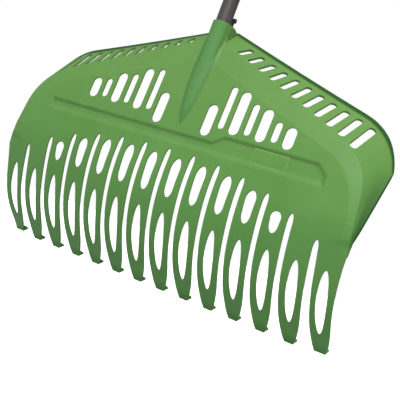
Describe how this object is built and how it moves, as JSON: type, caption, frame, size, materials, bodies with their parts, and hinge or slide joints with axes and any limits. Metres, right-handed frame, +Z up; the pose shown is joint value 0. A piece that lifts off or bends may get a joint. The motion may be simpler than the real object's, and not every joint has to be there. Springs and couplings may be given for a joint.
{
  "type": "leaf rake",
  "caption": "Wide moulded scoop-shaped leaf rake with flat back-curved slotted tines and a straight tube handle held by a cam lever.",
  "frame": {"origin": "centre of the hanging hole in the end cap at the top of the handle", "axes": "+Z up along the handle, from the tines to the end cap; +Y to the back, the side the tines curve towards; +X to the right seen from the front"},
  "size_m": [0.646, 0.1056, 1.6145],
  "materials": {
    "green_plastic": "moulded polypropylene, satin",
    "tube_coating": "plastic-coated steel tube, satin",
    "black_plastic": "satin",
    "grey_plastic": "acetal, satin",
    "steel": "zinc plated",
    "grip_rubber": "matte, ribbed"
  },
  "bodies": {
    "head": {"rake_head": "green_plastic", "lever_pin": "steel", "pin_ring_left": "steel", "pin_ring_right": "steel"},
    "handle": {"handle_tube": "tube_coating", "tube_foot": "black_plastic", "hand_grip": "grip_rubber", "grip_collar": "black_plastic", "end_cap": "black_plastic"},
    "lever": {"lock_lever": "black_plastic"},
    "pad": {"clamp_pad": "grey_plastic"}
  },
  "joints": [
    {"name": "handle_slide", "type": "slide", "parent": "head", "child": "handle", "axis": [0, 0, 1], "range_m": [0, 0.16]},
    {"name": "lever_hinge", "type": "hinge", "parent": "head", "child": "lever", "pos_m": [0, 0.02416, -1.193], "axis": [-1, 0, 0], "range_deg": [0, 100]},
    {"name": "pad_slide", "type": "slide", "parent": "head", "child": "pad", "axis": [0, 1, 0], "range_m": [0, 0.0006]}
  ],
  "couplings": [
    {"joint": "pad_slide", "follows": "lever_hinge", "m_per_rad": 0.00034}
  ]
}
